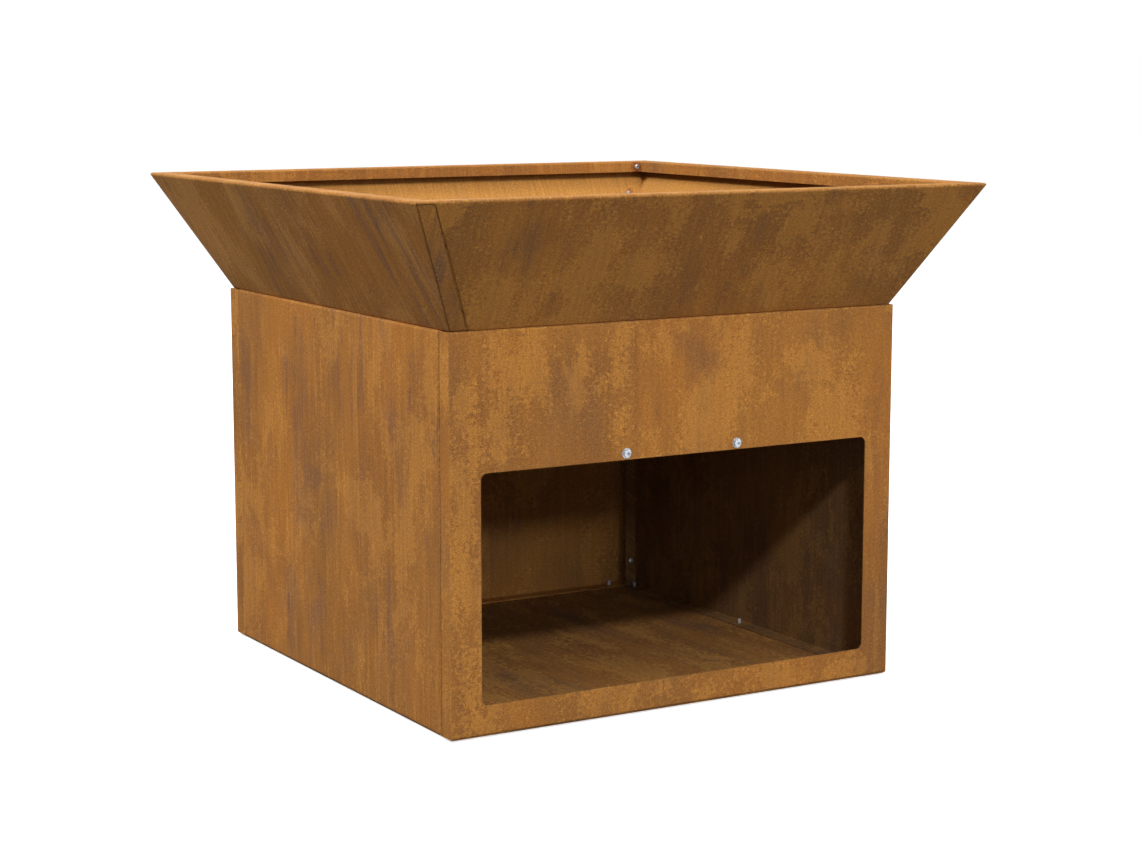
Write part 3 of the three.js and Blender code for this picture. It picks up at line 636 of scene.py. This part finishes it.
for node, look in LOOKS.items():
    dress(node, Rust("rust_" + node, **look).material)

zinc = zinc_material("zinc_screws", rgb(112, 118, 126), rgb(206, 212, 220), 0.85)
# painted light: the screws inside the pit get a lighter, less metallic copy of the zinc, so that
# they show bright in its shade
zinc_lightened_in_shade = zinc_material("zinc_screws_inside_lightened", rgb(205, 208, 214), rgb(240, 242, 245), 0.60)
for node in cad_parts:
    if "_screw" in node:
        inside = node.startswith(("corner_screw", "floor_screw"))
        dress(node, zinc_lightened_in_shade if inside else zinc)


# Stage, lamps and camera

FLOOR_SIZE = 60.0
BOUNCE_GREY = (0.12, 0.12, 0.12, 1.0)   # what the floor throws back at the object
SHOWN_GREY = (0.80, 0.80, 0.80, 1.0)    # what is seen of it: this, which takes shadow,
SHOWN_GLOW = 0.70                       # and a glow that lifts it to white
DOME = 0.16                             # the world's share of plain full light
WHITE = (1.0, 1.0, 1.0, 1.0)
LAMP_TARGET = Vector((0.0, 0.0, 0.4))


def shown_or_lighting(tree, lighting, shown, output_kind):
    """One shader for the light on the object, and another for what the camera sees, also in
    a mirror or through glass."""
    path = tree.node("ShaderNodeLightPath").outputs
    mirrored = tree.larger(path["Is Glossy Ray"], path["Is Transmission Ray"])
    seen = tree.larger(path["Is Camera Ray"], mirrored)
    mixed = tree.node("ShaderNodeMixShader", seen, lighting, shown)
    tree.node(output_kind, mixed.outputs[0])


def stage_floor():
    bpy.ops.mesh.primitive_plane_add(size=FLOOR_SIZE, location=(0.0, 0.0, 0.0))
    floor = bpy.context.object
    floor.name = "studio_floor"
    material = bpy.data.materials.new("studio_floor")
    tree = Tree(material)
    bounce = tree.node("ShaderNodeBsdfDiffuse", BOUNCE_GREY).outputs[0]
    shadowed = tree.node("ShaderNodeBsdfDiffuse", SHOWN_GREY).outputs[0]
    glow = tree.node("ShaderNodeEmission", WHITE, SHOWN_GLOW).outputs[0]
    shown = tree.node("ShaderNodeAddShader", shadowed, glow).outputs[0]
    shown_or_lighting(tree, bounce, shown, "ShaderNodeOutputMaterial")
    floor.data.materials.append(material)


def studio_world():
    world = bpy.data.worlds.new("studio")
    scene.world = world
    tree = Tree(world)
    dome = tree.node("ShaderNodeBackground", WHITE, DOME).outputs[0]
    white = tree.node("ShaderNodeBackground", WHITE, 1.0).outputs[0]
    shown_or_lighting(tree, dome, white, "ShaderNodeOutputWorld")


def new_lamp(name, kind, direction, place=(0.0, 0.0, 0.0)):
    lamp = bpy.data.lights.new(name, kind)
    lamp_object = bpy.data.objects.new(name, lamp)
    scene.collection.objects.link(lamp_object)
    lamp_object.location = place
    lamp_object.rotation_euler = Vector(direction).to_track_quat("-Z", "Y").to_euler()
    return lamp, lamp_object


def soft_sun(name, direction, strength, angle):
    """A distant soft lamp that shines along a direction, at a share of plain full light."""
    lamp, _ = new_lamp(name, "SUN", direction)
    lamp.energy = strength * math.pi
    lamp.angle = math.radians(angle)


def soft_box(name, direction, strength, away, wide, tall):
    """A rectangular lamp that shines along a direction at the middle of the object."""
    aim = Vector(direction).normalized()
    lamp, lamp_object = new_lamp(name, "AREA", aim, LAMP_TARGET - aim * away)
    lamp.shape = "RECTANGLE"
    lamp.size = wide
    lamp.size_y = tall
    lamp.energy = strength * math.pi * math.pi * away * away
    lamp_object.visible_camera = False


stage_floor()
studio_world()
soft_sun("key_front_left", (0.336, 0.746, -0.575), strength=0.41, angle=4.0)
for name, direction, strength, away, wide, tall in (
        ("fill_front_low", (-0.057, 0.951, -0.304), 0.16, 7.0, 2.0, 0.4),
        ("high_front", (0.074, 0.525, -0.848), 0.36, 5.0, 3.0, 3.0),
        ("side_left", (0.660, -0.050, -0.750), 0.80, 6.0, 1.5, 1.5),
        ("overhead", (0.05, 0.05, -1.0), 0.22, 5.0, 2.0, 2.0),
        ("low_right", (-0.803, 0.464, -0.375), 0.12, 6.0, 2.0, 2.0),
        ("low_left", (0.500, 0.840, -0.200), 0.040, 6.0, 3.0, 2.0),
        ("behind_right", (-0.350, -0.800, -0.480), 0.24, 6.0, 2.5, 2.5)):
    soft_box(name, direction, strength, away, wide, tall)

CAMERA_PLACE = (-1.99346, -3.44472, 0.98936)
CAMERA_DOWN = 0.1505       # its tilt below level, in radians
CAMERA_TURN = -0.5328      # its turn about the upright, in radians
SENSOR_MM = 36.0
FRAME_PIXELS = 1140.0
FOCAL_PIXELS = 2421.37
camera_data = bpy.data.cameras.new("camera")
camera_data.sensor_width = SENSOR_MM
camera_data.lens = FOCAL_PIXELS / FRAME_PIXELS * SENSOR_MM
camera = bpy.data.objects.new("camera", camera_data)
scene.collection.objects.link(camera)
camera.location = CAMERA_PLACE
camera.rotation_euler = (math.pi / 2.0 - CAMERA_DOWN, 0.0, CAMERA_TURN)
scene.camera = camera

scene.view_settings.view_transform = "Standard"
